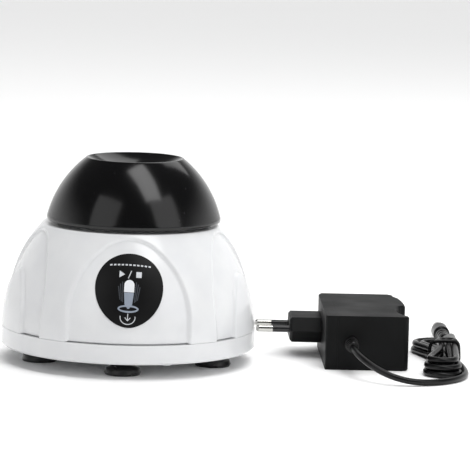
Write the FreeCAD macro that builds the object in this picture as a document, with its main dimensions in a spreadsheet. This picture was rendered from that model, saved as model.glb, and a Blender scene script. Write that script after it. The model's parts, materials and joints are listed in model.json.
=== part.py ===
import FreeCAD, Part
import math
import os
import re
import Sketcher
from FreeCAD import Placement, Rotation, Vector

# Vortex mixer with its power adapter, in millimetres. The mixer's axis is +Z through the origin, the table is
# z = 0 and the front is -Y. The adapter, its cord and the low-voltage plug lie on the table to the right (+X).
# The head sinks with the motor carriage, the shaft spins and the head orbits round the shaft without turning.

SIZES = {
    # housing
    "base_radius": 70, "ring_bottom": 8.2, "seam": 18.6, "floor": 2.5, "wall": 2.5,
    "dome_curve": 85, "dome_top": 75, "recess": 1.8, "panel_gap": 0.6,
    "arch_half": 34, "arch_spring": 30, "arch_top": 74, "arch_crown": 24,
    "pad_half": 18, "pad_spring": 22, "pad_top": 51, "pad_crown": 10,
    "opening_radius": 34, "collar_wall": 2, "collar_top": 78, "lip": 3,
    "boss_circle": 58, "boss_turn": -69, "boss_radius": 4, "boss_top": 46,
    # label
    "label_half": 18.2, "label_wide": 48.5, "label_top": 66, "label_bottom": 28,
    "label_crown": 19, "label_chin": 12, "label_thick": 0.3, "label_lift": 0.03,
    # feet and screws
    "foot_circle": 50, "foot_turn": -93, "foot_radius": 10, "foot_neck": 4,
    "screw_radius": 1.5, "screw_head": 2.8, "screw_head_high": 2.2, "socket": 1.3,
    # carriage
    "post_circle": 38, "post_radius": 3, "post_collar": 5, "collar_high": 44, "post_foot": 16.7,
    "plate_radius": 45, "plate_low": 62, "plate_high": 64, "bush_radius": 4.6, "bush_low": 61,
    "fit": 0.05, "spring_coil": 4.6, "spring_wire": 0.6, "spring_turns": 5,
    "motor_radius": 18, "motor_low": 31, "motor_wall": 1.4, "motor_boss": 6, "shaft_radius": 2.5,
    "cap_low": 28, "motor_screws": 12.5,
    # rotor and head
    "orbit": 1.75, "hub_radius": 9, "hub_low": 67, "hub_high": 75, "weight_radius": 19, "weight_high": 73,
    "pin_radius": 4, "bearing_low": 80, "bearing_high": 87, "bearing_inner": 6.2,
    "bearing_outer": 9, "bearing_radius": 11, "ball_radius": 1.35, "dowel_circle": 26, "dowel_radius": 2,
    "head_bottom": 77.2, "head_lip": 47.9, "lip_high": 79.4, "head_curve": 60, "rim_radius": 26.3,
    "head_high": 112, "dish_curve": 32, "dish_low": 104.2, "pit_radius": 6.5, "pit_low": 101,
    "core_top": 98.9, "core_low": 82, "core_radius": 38,
    # boards, switch and jack
    "board_low": 15, "board_thick": 1.6, "board_half": 23, "board_front": 24, "board_deep": 26,
    "switch_side": 12, "switch_low": 12.3, "switch_high": 20.2, "plunger_radius": 2.5, "plunger_high": 25.4,
    "jack_high": 30, "jack_hole": 4, "jack_seat": 67.6, "jack_bore": 2.85, "jack_pin": 1.05,
    # adapter
    "adapter_x": 108.1, "adapter_y": -25, "adapter_long": 81, "adapter_high": 30, "adapter_wall": 2.5,
    "rear_depth": 6.7, "boss_reach": 17.6, "boss_width": 36, "boss_thick": 14, "pins_along": 53.4,
    "pin_spacing": 19, "plug_pin_radius": 2, "plug_pin_long": 19, "sleeve_long": 9.6,
    "relief_x": 14, "relief_long": 15.3, "relief_radius": 3.75, "led_along": 16,
    # cord and low-voltage plug
    "cord_radius": 1.75, "plug_x": 181.5, "plug_y": 56.7, "boot_long": 13.7, "grip_long": 16.8,
    "grip_radius": 4.75, "barrel_radius": 2.75, "barrel_long": 12.9, "tie_y": 2, "tie_thick": 1.3,
    "waist_left": 168.6, "waist_right": 183.4, "waist_high": 11.9, "lobe_high": 7.2,
}
FEET = 5
POSTS = 3
POST_TURN = -90
DOWEL_TURN = -30

# The cord's route from the strain relief to the tie, and from the tie to the plug's boot.
LOOP_ROUTE = [
    (122.1, -40.3, 15), (122.9, -49.5, 14.2), (126.8, -57.6, 11.5), (133.3, -64.0, 7.8), (141.8, -68.1, 4.4),
    (151.3, -69.7, 2.4), (160.9, -68.4, 1.8), (169.4, -64.2, 1.76), (176.5, -57.6, 1.75), (181.4, -49.2, 1.76),
    (184.0, -39.7, 1.8), (184.6, -29.8, 1.9), (183.9, -20.0, 2.2), (182.4, -10.4, 2.7), (181.1, -1.5, 3.05),
]
TAIL_ROUTE = [
    (181.2, 5.0, 10.3), (182.9, 18.5, 10.0), (183.6, 32.0, 9.4), (182.6, 45.0, 7.0), (181.5, 56.7, 4.75),
]

doc = FreeCAD.newDocument("vortex_mixer")
sheet = doc.addObject("Spreadsheet::Sheet", "Sizes")
for row, (alias, number) in enumerate(SIZES.items(), start=1):
    sheet.set(f"A{row}", alias)
    sheet.set(f"B{row}", str(number))
    sheet.setAlias(f"B{row}", alias)
doc.recompute()
nodes = []


# ---- expressions, sketches and bodies ----

def named(text):
    """The expression with the sheet's name before each alias."""
    return re.sub(r"[a-z_]+", lambda w: "Sizes." + w[0] if w[0] in SIZES else w[0], str(text))


def value(text):
    """The expression's value."""
    return float(sheet.evalExpression(named(text)))


def bind(thing, **sizes):
    """Bind the properties to expressions of the sheet."""
    for name, text in sizes.items():
        thing.setExpression(name, named(text))


def place(thing, at, turn=None):
    """Bind the object's place, after turning it if turn is given."""
    if turn is not None:
        thing.Placement = Placement(Vector(), turn)
    for axis, text in zip("xyz", at):
        thing.setExpression(f"Placement.Base.{axis}", named(text))
    return thing


def node(thing, label):
    """Make the object a sub-part with this name."""
    thing.Label = label
    nodes.append(thing)
    return thing


def around(index, count, turn, circle):
    """The x and y of one of count places spaced evenly on a circle."""
    angle = f"({turn} + {360 / count} * {index}) * 1 deg"
    return f"({circle}) * cos({angle})", f"({circle}) * sin({angle})"


X_WAY = Rotation(Vector(0, 1, 0), 90)
Y_WAY = Rotation(Vector(1, 0, 0), -90)
BACK_X = Rotation(Vector(0, 1, 0), -90)
BACK_Y = Rotation(Vector(1, 0, 0), 90)


def new_body(label, at=("0", "0", "0"), turn=None):
    body = doc.addObject("PartDesign::Body", label + "_body")
    place(body, at, turn)
    return node(body, label)


def origin_item(body, role):
    return next(item for item in body.Origin.OriginFeatures if item.Role == role)


def new_sketch(body, plane, name, offset=None, turn=0):
    """A sketch on one of the body's own planes, moved along its normal by offset and turned round its Y axis."""
    sketch = body.newObject("Sketcher::SketchObject", name)
    sketch.AttachmentSupport = (origin_item(body, plane), [""])
    sketch.MapMode = "FlatFace"
    sketch.AttachmentOffset = Placement(Vector(), Rotation(Vector(0, 1, 0), turn))
    if offset is not None:
        sketch.setExpression("AttachmentOffset.Base.z", named(offset))
    return sketch


def fix_point(sketch, shape, end, x, y):
    """Bind a point of the sketch to two expressions."""
    for kind, axis, text in (("DistanceX", -2, x), ("DistanceY", -1, y)):
        if abs(value(text)) < 1e-6:
            sketch.addConstraint(Sketcher.Constraint("PointOnObject", shape, end, axis))
        else:
            index = sketch.addConstraint(Sketcher.Constraint(kind, -1, 1, shape, end, value(text)))
            sketch.setExpression(f"Constraints[{index}]", named(text))


def arc_between(start, end, radius):
    """The short arc from start to end. Its centre is on the left of the way if radius is positive."""
    half = (end - start) * 0.5
    left = Vector(-half.y, half.x, 0).normalize()
    centre = start + half + left * math.copysign(math.sqrt(radius**2 - half.Length**2), radius)
    first, last = (start, end) if radius > 0 else (end, start)
    angles = [math.atan2(p.y - centre.y, p.x - centre.x) for p in (first, last)]
    circle = Part.Circle(centre, Vector(0, 0, 1), abs(radius))
    return Part.ArcOfCircle(circle, angles[0], angles[1])


def outline(sketch, corners):
    """Close an outline through corners of (x, y), or (x, y, radius) where an arc leads to the next corner."""
    spots = [Vector(value(c[0]), value(c[1]), 0) for c in corners]
    first = sketch.GeometryCount
    starts = []
    for index, corner in enumerate(corners):
        start, end = spots[index], spots[(index + 1) % len(corners)]
        if len(corner) == 2:
            sketch.addGeometry(Part.LineSegment(start, end))
            starts.append(1)
        else:
            radius = value(corner[2])
            sketch.addGeometry(arc_between(start, end, radius))
            starts.append(1 if radius > 0 else 2)
    for index, corner in enumerate(corners):
        after = (index + 1) % len(corners)
        joint = Sketcher.Constraint("Coincident", first + index, 3 - starts[index], first + after, starts[after])
        sketch.addConstraint(joint)
        fix_point(sketch, first + index, starts[index], corner[0], corner[1])
        if len(corner) == 3:
            size = Sketcher.Constraint("Radius", first + index, abs(value(corner[2])))
            bound = sketch.addConstraint(size)
            sketch.setExpression(f"Constraints[{bound}]", f"abs({named(corner[2])})")
    return sketch


def circles(sketch, spots, radius):
    """Circles of one radius, centred on spots of (x, y)."""
    for x, y in spots:
        centre = Vector(value(x), value(y), 0)
        index = sketch.addGeometry(Part.Circle(centre, Vector(0, 0, 1), value(radius)))
        fix_point(sketch, index, 3, x, y)
        bound = sketch.addConstraint(Sketcher.Constraint("Radius", index, value(radius)))
        sketch.setExpression(f"Constraints[{bound}]", named(radius))
    return sketch


def turned(body, corners, name="turned", angle=360, plane="XZ_Plane"):
    """Add a revolution of the outline about the body's Z axis."""
    feature = body.newObject("PartDesign::Revolution", name)
    feature.Profile = outline(new_sketch(body, plane, name + "_profile"), corners)
    feature.ReferenceAxis = (feature.Profile[0], ["V_Axis"])
    feature.Angle = angle
    feature.Midplane = angle < 360
    return feature


def grooved(body, corners, name):
    """Cut a revolution of the outline about the body's Z axis."""
    feature = body.newObject("PartDesign::Groove", name)
    feature.Profile = outline(new_sketch(body, "XZ_Plane", name + "_profile"), corners)
    feature.ReferenceAxis = (feature.Profile[0], ["V_Axis"])
    feature.Angle = 360
    return feature


def padded(body, sketch, length, back=False):
    feature = body.newObject("PartDesign::Pad", sketch.Name + "_pad")
    feature.Profile = sketch
    feature.Reversed = back
    bind(feature, Length=length)
    return feature


def pocketed(body, sketch, length, back=False):
    """Cut the sketch away from its normal, or along it if back is True, and check that it cuts something."""
    doc.recompute()
    before = body.Shape.Volume
    feature = body.newObject("PartDesign::Pocket", sketch.Name + "_pocket")
    feature.Profile = sketch
    feature.Reversed = back
    bind(feature, Length=length)
    doc.recompute()
    if before - body.Shape.Volume < 1e-3:
        raise RuntimeError(f"{sketch.Name} cuts nothing")
    return feature


def edges_where(feature, test):
    """The names of the feature's edges for which test(edge) holds."""
    return [f"Edge{i}" for i, edge in enumerate(feature.Shape.Edges, start=1) if test(edge)]


def rounded(body, test, size, kind="PartDesign::Fillet"):
    """Fillet or chamfer those edges of the body's last feature for which test(edge) holds."""
    doc.recompute()
    base = body.Tip
    feature = body.newObject(kind, body.Name + "_edge")
    feature.Base = (base, edges_where(base, test))
    bind(feature, **{"Size" if "Chamfer" in kind else "Radius": size})
    return feature


# ---- primitives ----

def cylinder(name, radius, height, at=("0", "0", "0"), turn=None):
    thing = doc.addObject("Part::Cylinder", name)
    bind(thing, Radius=radius, Height=height)
    return place(thing, at, turn)


def box(name, sides, at):
    thing = doc.addObject("Part::Box", name)
    bind(thing, Length=sides[0], Width=sides[1], Height=sides[2])
    return place(thing, at)


def cut(name, base, tool):
    thing = doc.addObject("Part::Cut", name)
    thing.Base = base
    thing.Tool = tool
    return thing


def fused(name, parts):
    thing = doc.addObject("Part::MultiFuse", name)
    thing.Shapes = parts
    return thing


def group(label, parts):
    """One sub-part of several separate solids."""
    thing = doc.addObject("Part::Compound", label + "_group")
    thing.Links = parts
    return node(thing, label)


def ring(name, inner, outer, height, at):
    return cut(name, cylinder(name + "_out", outer, height, at), cylinder(name + "_in", inner, height, at))


def screw(name, at, shank, down=True):
    """A socket-head screw whose head rests at the place, and whose shank points down, or up."""
    x, y, z = at
    low = z if down else f"{z} - screw_head_high"
    head = cylinder(name + "_head", "screw_head", "screw_head_high", (x, y, low))
    body = cylinder(name + "_shank", "screw_radius", shank, (x, y, f"{z} - {shank}" if down else z))
    socket = doc.addObject("Part::Prism", name + "_socket")
    bind(socket, Circumradius="socket", Height="socket")
    place(socket, (x, y, f"{z} + screw_head_high - socket" if down else f"{z} - screw_head_high"))
    return cut(name, fused(name + "_solid", [head, body]), socket)


def tube(label, route, radius):
    """A tube of straight runs joined by tangent arcs, each as large as its two runs allow."""
    points = [Vector(*p) for p in route]
    edges = []
    radii = []
    here = points[0]
    for before, corner, after in zip(points, points[1:], points[2:]):
        back, ahead = before - corner, after - corner
        half_turn = (math.pi - back.getAngle(ahead)) / 2
        trim = 0.45 * min(back.Length, ahead.Length)
        radii.append(trim / math.tan(half_turn))
        first = corner + back.normalize() * trim
        last = corner + ahead.normalize() * trim
        middle = corner + (back + ahead).normalize() * (radii[-1] / math.cos(half_turn) - radii[-1])
        edges += [Part.LineSegment(here, first).toShape(), Part.Arc(first, middle, last).toShape()]
        here = last
    edges.append(Part.LineSegment(here, points[-1]).toShape())
    path = Part.Wire(edges)
    start = Part.Circle(points[0], points[1] - points[0], value(radius))
    solid = path.makePipeShell([Part.Wire(start.toShape())], True, True)
    expected = math.pi * value(radius) ** 2 * path.Length
    print(label, "length", round(path.Length, 1), "smallest bend", round(min(radii), 1),
          "volume ratio", round(solid.Volume / expected, 4))
    thing = doc.addObject("Part::Feature", label + "_tube")
    thing.Shape = solid
    return thing


# ---- outlines that are used twice ----

def side_radius(half, rise, crown):
    """The radius of an arch's sides that run smoothly into its crown."""
    return f"(({half})^2 + ({rise})^2 - 2 * ({rise}) * ({crown})) / (2 * (({half}) - ({crown})))"


def arch(half, spring, top, crown, side=1):
    """Half an arch, from the spring on the right (side 1) or on the left (-1) over to the crown's other end."""
    sides = side_radius(half, f"{top} - ({spring})", crown)
    reach = f"(({sides}) - ({half})) / (({sides}) - ({crown}))"
    rise = f"(({top} - ({crown})) - ({spring})) / (({sides}) - ({crown}))"
    knee_x = f"({crown}) * {reach}"
    knee_z = f"({top} - ({crown})) + ({crown}) * {rise}"
    turn = "" if side == 1 else "-"
    return [
        (f"{side} * ({half})", spring, f"{turn}({sides})"),
        (f"{side} * {knee_x}", knee_z, f"{turn}({crown})"),
        (f"{-side} * {knee_x}", knee_z, f"{turn}({sides})"),
        (f"{-side} * ({half})", spring),
    ]


def dome_radius(inset, z):
    """The dome's radius at a height, inset from its outer surface."""
    return f"(base_radius - dome_curve + sqrt((dome_curve - ({inset}))^2 - ({z} - seam)^2))"


def dome_solid(inset, low, high):
    """A profile from the axis out to the dome's curve and back."""
    return [
        ("0", low), (dome_radius(inset, low), low, f"dome_curve - ({inset})"), (dome_radius(inset, high), high),
        ("0", high),
    ]


# ---- housing ----

def base_tray():
    body = new_body("base_tray")
    top = "ring_bottom + floor"
    spigot = "base_radius - recess - wall - 0.4"
    turned(body, [
        ("0", "ring_bottom"), ("base_radius - 1", "ring_bottom"), ("base_radius", "ring_bottom + 1"),
        ("base_radius", "seam"), (spigot, "seam"), (spigot, "seam + lip"), (f"{spigot} - 1.8", "seam + lip"),
        (f"{spigot} - 1.8", top), ("0", top),
    ], "tray")
    posts = [around(i, POSTS, POST_TURN, "post_circle") for i in range(POSTS)]
    bosses = circles(new_sketch(body, "XY_Plane", "post_bosses", top), posts, "post_radius * 2")
    padded(body, bosses, f"post_foot - ({top})")
    corners = [(f"{x} * (board_half - 3)", f"board_front + {y}") for x in (-1, 1) for y in (3, 23)]
    standoffs = circles(new_sketch(body, "XY_Plane", "standoffs", top), corners, "2.5")
    padded(body, standoffs, f"board_low - ({top})")
    sockets = circles(new_sketch(body, "XY_Plane", "post_sockets", "post_foot"), posts, "2 + fit")
    pocketed(body, sockets, "6")
    feet = [around(i, FEET, "foot_turn", "foot_circle") for i in range(FEET)]
    tray = [around(i, FEET, "boss_turn", "boss_circle") for i in range(FEET)]
    holes = circles(new_sketch(body, "XY_Plane", "screw_holes", top), feet + tray, "screw_radius + fit")
    pocketed(body, holes, "floor + 1")
    vents = [around(i, 12, 0, "post_circle - 13") for i in range(12)]
    pocketed(body, circles(new_sketch(body, "XY_Plane", "vents", top), vents, "2"), "floor + 1")


def dome_shell():
    body = new_body("dome_shell")
    turned(body, dome_solid("0", "seam", "dome_top"), "dome")
    front = new_sketch(body, "XZ_Plane", "front_arch")
    outline(front, [("arch_half", "seam - 1")] + arch("arch_half", "arch_spring", "arch_top", "arch_crown")
            + [("-arch_half", "seam - 1")])
    pocketed(body, front, "base_radius + 5", True)
    side = new_sketch(body, "XZ_Plane", "side_arch", turn=72)
    outline(side, [("arch_half", "seam - 1")] + arch("arch_half", "arch_spring", "arch_top", "arch_crown")
            + [("-arch_half", "seam - 1"), ("-pad_half", "seam - 1")]
            + arch("pad_half", "pad_spring", "pad_top", "pad_crown", -1) + [("pad_half", "seam - 1")])
    window = pocketed(body, side, "base_radius + 5", True)
    pattern = body.newObject("PartDesign::PolarPattern", "side_arches")
    pattern.Originals = [window]
    pattern.Axis = (origin_item(body, "Z_Axis"), [""])
    pattern.Angle = 216
    pattern.Occurrences = 4
    body.Tip = pattern
    turned(body, dome_solid("recess", "seam + panel_gap", "dome_top"), "panels")
    inner = "recess + wall"
    grooved(body, dome_solid(inner, "seam", "dome_top - wall"), "cavity")
    turned(body, [
        ("opening_radius - 1", "dome_top - wall"), ("opening_radius + collar_wall", "dome_top - wall"),
        ("opening_radius + collar_wall", "collar_top"), ("opening_radius - 1", "collar_top"),
    ], "collar")
    doc.recompute()
    opening = circles(new_sketch(body, "XY_Plane", "opening", "collar_top"), [("0", "0")], "opening_radius")
    pocketed(body, opening, "10")
    low = "ring_bottom + floor"
    spots = [around(i, FEET, "boss_turn", "boss_circle") for i in range(FEET)]
    bosses = circles(new_sketch(body, "XY_Plane", "bosses", low), spots, "boss_radius")
    padded(body, bosses, f"boss_top - ({low})")
    doc.recompute()
    pilots = circles(new_sketch(body, "XY_Plane", "pilots", low), spots, "screw_radius + fit")
    pocketed(body, pilots, "14", True)
    seat = circles(new_sketch(body, "XZ_Plane", "jack_seat", "-jack_seat"), [("0", "jack_high")], "6.5")
    pocketed(body, seat, "5")
    hole = circles(new_sketch(body, "XZ_Plane", "jack_hole", "-jack_seat"), [("0", "jack_high")], "jack_hole")
    pocketed(body, hole, "6", True)


def label():
    """A film on the front panel, cut from a thin turned skin."""
    body = new_body("label")
    low, high = "label_bottom - 4", "label_top + 4"
    inner = "recess - label_lift"
    outer = "recess - label_lift - label_thick"
    turned(body, [
        (f"-{dome_radius(inner, low)}", low), (f"-{dome_radius(outer, low)}", low, f"-(dome_curve - ({outer}))"),
        (f"-{dome_radius(outer, high)}", high), (f"-{dome_radius(inner, high)}", high, f"dome_curve - ({inner})"),
    ], "skin", 80, "YZ_Plane")
    trim = new_sketch(body, "XZ_Plane", "trim")
    outline(trim, [("-60", "10"), ("60", "10"), ("60", "90"), ("-60", "90")])
    top = arch("label_half", "label_wide", "label_top", "label_crown")
    drop = "label_wide - label_bottom"
    sides = side_radius("label_half", drop, "label_chin")
    reach = f"(({sides}) - label_half) / (({sides}) - label_chin)"
    fall = f"({drop} - label_chin) / (({sides}) - label_chin)"
    knee = f"label_bottom + label_chin - label_chin * {fall}"
    outline(trim, top[:3] + [
        ("-label_half", "label_wide", sides), (f"-label_chin * {reach}", knee, "label_chin"),
        (f"label_chin * {reach}", knee, sides),
    ])
    pocketed(body, trim, "base_radius + 5", True)


def feet():
    """Five suction cups, each with the hole that its screw goes into."""
    for index in range(FEET):
        x, y = around(index, FEET, "foot_turn", "foot_circle")
        body = new_body(f"foot_{index + 1}", (x, y, "0"))
        turned(body, [
            ("0", "3"), ("foot_radius - 2.6", "0"), ("foot_radius - 0.6", "0"), ("foot_radius", "1.2"),
            ("foot_radius - 0.7", "3.2"), ("foot_neck + 1.2", "5.2"), ("foot_neck", "5.8"),
            ("foot_neck", "ring_bottom"), ("screw_radius + fit", "ring_bottom"), ("screw_radius + fit", "4"),
            ("0", "4"),
        ], f"cup_{index + 1}")


def foot_screws():
    top = "ring_bottom + floor"
    spots = [around(i, FEET, "foot_turn", "foot_circle") for i in range(FEET)]
    group("foot_screws", [screw(f"foot_screw_{i}", (x, y, top), "6.5") for i, (x, y) in enumerate(spots)])


def tray_screws():
    spots = [around(i, FEET, "boss_turn", "boss_circle") for i in range(FEET)]
    group("tray_screws", [
        screw(f"tray_screw_{i}", (x, y, "ring_bottom"), "14", False) for i, (x, y) in enumerate(spots)
    ])


# ---- what holds and lifts the motor ----

def guide_posts():
    posts = []
    for index in range(POSTS):
        x, y = around(index, POSTS, POST_TURN, "post_circle")
        name = f"post_{index}"
        post = fused(name + "_solid", [
            cylinder(name + "_stud", "2", "5.9", (x, y, "post_foot - 5.9")),
            cylinder(name + "_collar", "post_collar", "collar_high - post_foot", (x, y, "post_foot")),
            cylinder(name + "_rod", "post_radius", "plate_high + 0.2 - collar_high", (x, y, "collar_high")),
        ])
        hole = cylinder(name + "_hole", "screw_radius + fit", "11", (x, y, "plate_high - 10"))
        posts.append(cut(name, post, hole))
    group("guide_posts", posts)


def post_stops():
    stops = []
    for index in range(POSTS):
        x, y = around(index, POSTS, POST_TURN, "post_circle")
        washer = ring(f"washer_{index}", "screw_radius", "post_collar", "0.8", (x, y, "plate_high + 0.2"))
        bolt = screw(f"stop_{index}", (x, y, "plate_high + 1"), "9")
        stops.append(fused(f"stop_set_{index}", [washer, bolt]))
    group("post_stops", stops)


def return_springs():
    springs = []
    wire = value("spring_wire")
    low = value("collar_high") + wire
    rise = value("bush_low - collar_high") - 2 * wire
    for index in range(POSTS):
        x, y = around(index, POSTS, POST_TURN, "post_circle")
        helix = Part.makeHelix(rise / value("spring_turns"), rise, value("spring_coil"))
        section = Part.Circle(Vector(value("spring_coil"), 0, 0), Vector(0, 1, 0), wire)
        thing = doc.addObject("Part::Feature", f"spring_{index}")
        thing.Shape = Part.Wire(helix).makePipeShell([Part.Wire(section.toShape())], True, True)
        springs.append(place(thing, (x, y, f"{low}")))
    group("return_springs", springs)


def motor_plate():
    body = new_body("motor_plate")
    disc = circles(new_sketch(body, "XY_Plane", "disc", "plate_low"), [("0", "0")], "plate_radius")
    padded(body, disc, "plate_high - plate_low")
    doc.recompute()
    bushes = [around(i, POSTS, POST_TURN, "post_circle") for i in range(POSTS)]
    dowels = [around(i, POSTS, DOWEL_TURN, "dowel_circle") for i in range(POSTS)]
    screws = [("motor_screws", "0"), ("-motor_screws", "0")]
    for name, spots, radius in (
        ("centre_hole", [("0", "0")], "motor_boss + fit"), ("bush_holes", bushes, "bush_radius"),
        ("dowel_holes", dowels, "dowel_radius + orbit + 1.6"), ("motor_holes", screws, "screw_radius + fit"),
    ):
        pocketed(body, circles(new_sketch(body, "XY_Plane", name, "plate_high"), spots, radius), "5")


def post_bushes():
    bushes = []
    for index in range(POSTS):
        x, y = around(index, POSTS, POST_TURN, "post_circle")
        name = f"bush_{index}"
        sleeve = cylinder(name + "_sleeve", "bush_radius - 0.02", "plate_high - bush_low", (x, y, "bush_low"))
        flange = cylinder(name + "_flange", "bush_radius + 1", "plate_low - bush_low", (x, y, "bush_low"))
        bore = cylinder(name + "_bore", "post_radius + fit", "5", (x, y, "bush_low - 1"))
        bushes.append(cut(name, fused(name + "_solid", [sleeve, flange]), bore))
    group("post_bushes", bushes)


def orbit_grommets():
    """Rubber rings round the holes in which the head's dowels circle."""
    rings = []
    for index in range(POSTS):
        x, y = around(index, POSTS, DOWEL_TURN, "dowel_circle")
        rings.append(ring(f"grommet_{index}", "dowel_radius + orbit + 0.15", "dowel_radius + orbit + 1.58",
                          "plate_high - plate_low + 1", (x, y, "plate_low - 0.5")))
    group("orbit_grommets", rings)


def motor_can():
    body = new_body("motor_can")
    inside = "motor_radius - motor_wall"
    turned(body, [
        ("shaft_radius + fit", "plate_low - motor_wall"), (inside, "plate_low - motor_wall"), (inside, "motor_low"),
        ("motor_radius", "motor_low"), ("motor_radius", "plate_low - 1"), ("motor_radius - 1", "plate_low"),
        ("motor_boss", "plate_low"), ("motor_boss", "plate_low + 3"), ("shaft_radius + fit", "plate_low + 3"),
    ], "can")
    doc.recompute()
    spots = [("motor_screws", "0"), ("-motor_screws", "0")]
    holes = circles(new_sketch(body, "XY_Plane", "can_holes", "plate_low"), spots, "screw_radius + fit")
    pocketed(body, holes, "motor_wall + 1")


def motor_end_cap():
    inside = "motor_radius - motor_wall - 0.02"
    turned(new_body("motor_end_cap"), [
        ("0", "cap_low - 1.5"), ("7", "cap_low - 1.5"), ("7", "cap_low"), ("motor_radius", "cap_low"),
        ("motor_radius", "motor_low"), (inside, "motor_low"), (inside, "motor_low + 1.5"), ("6", "motor_low + 1.5"),
        ("shaft_radius + fit", "motor_low + 1.5"), ("shaft_radius + fit", "cap_low"), ("0", "cap_low"),
    ], "end_cap")


def motor_magnets():
    shell = ring("magnet_ring", "14", "motor_radius - motor_wall - 0.02", "24", ("0", "0", "motor_low + 3"))
    gap = box("magnet_gap", ("40", "12", "30"), ("-20", "-6", "motor_low"))
    node(cut("magnet_halves", shell, gap), "motor_magnets")


def motor_terminals():
    group("motor_terminals", [
        box(f"tab_{i}", ("3", "0.8", "5"), (f"{x} - 1.5", "12", "cap_low - 5")) for i, x in enumerate((-5, 5))
    ])


def motor_screws():
    group("motor_screws", [
        screw(f"motor_screw_{i}", (f"{side} * motor_screws", "0", "plate_high"), "4")
        for i, side in enumerate((-1, 1))
    ])


def motor_leads():
    leads = [
        tube(f"motor_lead_{i}", [(x, 12.4, value("cap_low") - 5), (x, 12.4, 14.5), (x, 20, 14.5)], "0.8")
        for i, x in enumerate((-5, 5))
    ]
    group("motor_leads", leads)


def actuator():
    node(cylinder("actuator_pad", "3", "1", ("0", "0", "cap_low - 2.5")), "actuator")


# ---- rotor ----

def motor_shaft():
    node(cylinder("shaft", "shaft_radius", "hub_high - cap_low - 0.2", ("0", "0", "cap_low + 0.2")), "motor_shaft")


def armature():
    """A slotted iron core with the commutator below it."""
    core = ring("core", "shaft_radius + 0.02", "13.4", "20", ("0", "0", "motor_low + 5"))
    slots = []
    for index in range(3):
        slot = box(f"slot_{index}", ("10", "3", "22"), ("0", "0", "0"))
        turn = Rotation(Vector(0, 0, 1), 120 * index + 60)
        middle = turn.multVec(Vector(8, -1.5, 0))
        slots.append(place(slot, (f"{middle.x}", f"{middle.y}", "motor_low + 4"), turn))
    commutator = ring("commutator", "shaft_radius + 0.02", "4.5", "3", ("0", "0", "motor_low + 2"))
    node(fused("armature_solid", [cut("slotted_core", core, fused("slots", slots)), commutator]), "armature")


def eccentric_hub():
    node(ring("hub", "shaft_radius + 0.01", "hub_radius", "hub_high - hub_low", ("0", "0", "hub_low")),
         "eccentric_hub")


def eccentric_pin():
    """The pin that carries the head's bearing, set off the shaft's axis by the orbit."""
    turned(new_body("eccentric_pin", ("orbit", "0", "0")), [
        ("0", "hub_high"), ("hub_radius - orbit", "hub_high"), ("hub_radius - orbit", "hub_high + 1.5"),
        ("5.2", "hub_high + 1.5"), ("5.2", "bearing_low"), ("pin_radius", "bearing_low"),
        ("pin_radius", "bearing_high + 0.5"), ("screw_radius + 0.02", "bearing_high + 0.5"),
        ("screw_radius + 0.02", "bearing_high - 5"), ("0", "bearing_high - 5"),
    ], "pin")


def counterweight():
    """A half ring on the side away from the pin."""
    disc = ring("weight_ring", "hub_radius + 0.02", "weight_radius", "weight_high - hub_low",
                ("0", "0", "hub_low"))
    half = box("weight_half", ("weight_radius + 1", "2 * weight_radius + 2", "20"),
               ("0", "-weight_radius - 1", "60"))
    node(cut("weight", disc, half), "counterweight")


def bearing_inner_ring():
    node(ring("inner_race", "pin_radius + 0.01", "bearing_inner", "bearing_high - bearing_low",
              ("orbit", "0", "bearing_low")), "bearing_inner_ring")


def pin_screw():
    node(screw("pin_bolt", ("orbit", "0", "bearing_high + 0.5"), "5"), "pin_screw")


# ---- head ----

def bearing_outer_ring():
    node(ring("outer_race", "bearing_outer", "bearing_radius", "bearing_high - bearing_low",
              ("orbit", "0", "bearing_low")), "bearing_outer_ring")


def bearing_balls():
    balls = []
    for index in range(9):
        x, y = around(index, 9, 0, "(bearing_inner + bearing_outer) / 2")
        ball = doc.addObject("Part::Sphere", f"ball_{index}")
        bind(ball, Radius="ball_radius")
        balls.append(place(ball, (f"orbit + {x}", y, "(bearing_low + bearing_high) / 2")))
    group("bearing_balls", balls)


def head_core():
    """A stiff insert that holds the bearing and the three dowels inside the rubber head."""
    body = new_body("head_core", ("orbit", "0", "0"))
    turned(body, [
        ("bearing_radius + 0.02", "bearing_low"), ("15", "bearing_low"), ("15", "core_top - 4"),
        ("24", "core_top - 4"), ("30.5", "89"), ("core_radius - 3.4", "core_low"),
        ("core_radius - 0.04", "core_low"), ("33.86", "91"), ("27.86", "core_top - 0.03"), ("0", "core_top - 0.03"),
        ("0", "93"), ("9.3", "93"),
        ("9.3", "bearing_high"), ("bearing_radius + 0.02", "bearing_high"),
    ], "core")
    spots = [around(i, POSTS, DOWEL_TURN, "dowel_circle") for i in range(POSTS)]
    padded(body, circles(new_sketch(body, "XY_Plane", "dowel_bosses", "84"), spots, "4"), "core_top - 86")
    doc.recompute()
    holes = circles(new_sketch(body, "XY_Plane", "dowel_holes", "84"), spots, "dowel_radius + 0.02")
    pocketed(body, holes, "8", True)


def orbit_dowels():
    dowels = []
    for index in range(POSTS):
        x, y = around(index, POSTS, DOWEL_TURN, "dowel_circle")
        dowels.append(cylinder(f"dowel_{index}", "dowel_radius", "31", (f"orbit + {x}", y, "plate_low - 1")))
    group("orbit_dowels", dowels)


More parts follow.
